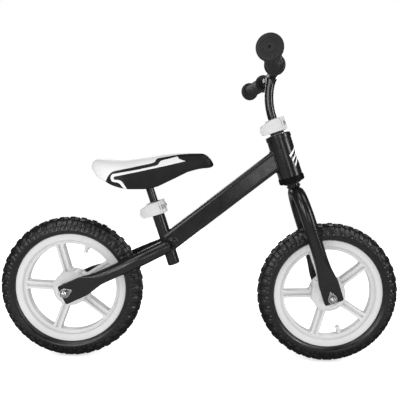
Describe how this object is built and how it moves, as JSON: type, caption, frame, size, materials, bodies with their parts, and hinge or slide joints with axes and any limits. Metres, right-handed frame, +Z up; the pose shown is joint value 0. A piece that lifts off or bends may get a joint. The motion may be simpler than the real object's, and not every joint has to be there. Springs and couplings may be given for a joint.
{
  "type": "balance bike",
  "caption": "Child's push-along balance bike: steel frame, spoked wheels with foam tyres, turning fork, quick-release sliding saddle and bars.",
  "frame": {"origin": "on the ground, midway between the two axles, in the bike's centre plane", "axes": "+X forward, +Y to the rider's left, +Z up"},
  "size_m": [0.8426, 0.4182, 0.6234],
  "materials": {
    "frame_paint": "satin-gloss black powder coat on steel tube",
    "gloss_paint": "glossy black paint on steel tube",
    "white_plastic": "moulded white plastic, half gloss",
    "black_plastic": "moulded black plastic",
    "natural_plastic": "undyed nylon bush",
    "foam_tyre": "matte black foam rubber with a block tread",
    "grip_rubber": "matte black ribbed rubber",
    "saddle_vinyl": "white and black vinyl skin over foam, with a white pinstripe",
    "chrome": "bright chrome plate",
    "steel": "zinc-plated or bare bearing steel"
  },
  "bodies": {
    "frame": {"head_tube": "frame_paint", "main_tube": "frame_paint", "seat_tube": "frame_paint", "right_stay": "frame_paint", "left_stay": "frame_paint", "upper_headset_cup": "frame_paint", "lower_headset_cup": "frame_paint", "seat_clamp_collar": "white_plastic", "seat_clamp_bolt": "steel", "seat_clamp_nut": "chrome", "seat_clamp_pin": "steel", "seat_post_bush": "natural_plastic", "seat_tube_plug": "black_plastic", "rear_axle_bolt": "chrome", "rear_axle_nut": "chrome", "rear_washer_right": "chrome", "rear_washer_left": "chrome", "rear_axle_spacer_right": "steel", "rear_axle_spacer_left": "steel", "rear_bearing_spacer": "steel"},
    "fork": {"fork_steerer": "frame_paint", "right_fork_leg": "frame_paint", "left_fork_leg": "frame_paint", "crown_race": "steel", "upper_race": "steel", "upper_ball_bearing": "steel", "lower_ball_bearing": "steel", "headset_lock_nut": "frame_paint", "bar_post_bush": "natural_plastic", "bar_clamp_collar": "white_plastic", "bar_clamp_bolt": "steel", "bar_clamp_nut": "chrome", "bar_clamp_pin": "steel", "front_axle_bolt": "chrome", "front_axle_nut": "chrome", "front_washer_right": "chrome", "front_washer_left": "chrome", "front_axle_spacer_right": "steel", "front_axle_spacer_left": "steel", "front_bearing_spacer": "steel"},
    "front_wheel": {"front_rim": "white_plastic", "front_tyre": "foam_tyre", "front_bearing_right": "steel", "front_bearing_left": "steel"},
    "rear_wheel": {"rear_rim": "white_plastic", "rear_tyre": "foam_tyre", "rear_bearing_right": "steel", "rear_bearing_left": "steel"},
    "handlebar": {"bar_post": "gloss_paint", "crossbar": "gloss_paint", "right_grip": "grip_rubber", "left_grip": "grip_rubber"},
    "saddle": {"seat_post": "gloss_paint", "saddle_base": "black_plastic", "saddle_cover": "saddle_vinyl", "saddle_screw_front": "steel", "saddle_screw_rear": "steel"},
    "seat_lever": {"seat_clamp_lever": "white_plastic"},
    "bar_lever": {"bar_clamp_lever": "white_plastic"}
  },
  "joints": [
    {"name": "steering", "type": "hinge", "parent": "frame", "child": "fork", "pos_m": [0.2713, 0, 0.15], "axis": [-0.3355, 0, 0.9421], "continuous": true},
    {"name": "front_wheel_spin", "type": "hinge", "parent": "fork", "child": "front_wheel", "pos_m": [0.2713, 0, 0.15], "axis": [0, 1, 0], "continuous": true},
    {"name": "rear_wheel_spin", "type": "hinge", "parent": "frame", "child": "rear_wheel", "pos_m": [-0.2713, 0, 0.15], "axis": [0, 1, 0], "continuous": true},
    {"name": "bar_height", "type": "slide", "parent": "fork", "child": "handlebar", "axis": [-0.3355, 0, 0.9421], "range_m": [0, 0.06]},
    {"name": "saddle_height", "type": "slide", "parent": "frame", "child": "saddle", "axis": [-0.3165, 0, 0.9486], "range_m": [-0.015, 0.05]},
    {"name": "seat_lever_hinge", "type": "hinge", "parent": "frame", "child": "seat_lever", "pos_m": [-0.08079, -0.0148, 0.3279], "axis": [-0.3165, 0, 0.9486], "range_deg": [0, 150]},
    {"name": "bar_lever_hinge", "type": "hinge", "parent": "fork", "child": "bar_lever", "pos_m": [0.16215, -0.0148, 0.50511], "axis": [-0.3355, 0, 0.9421], "range_deg": [0, 150]}
  ]
}
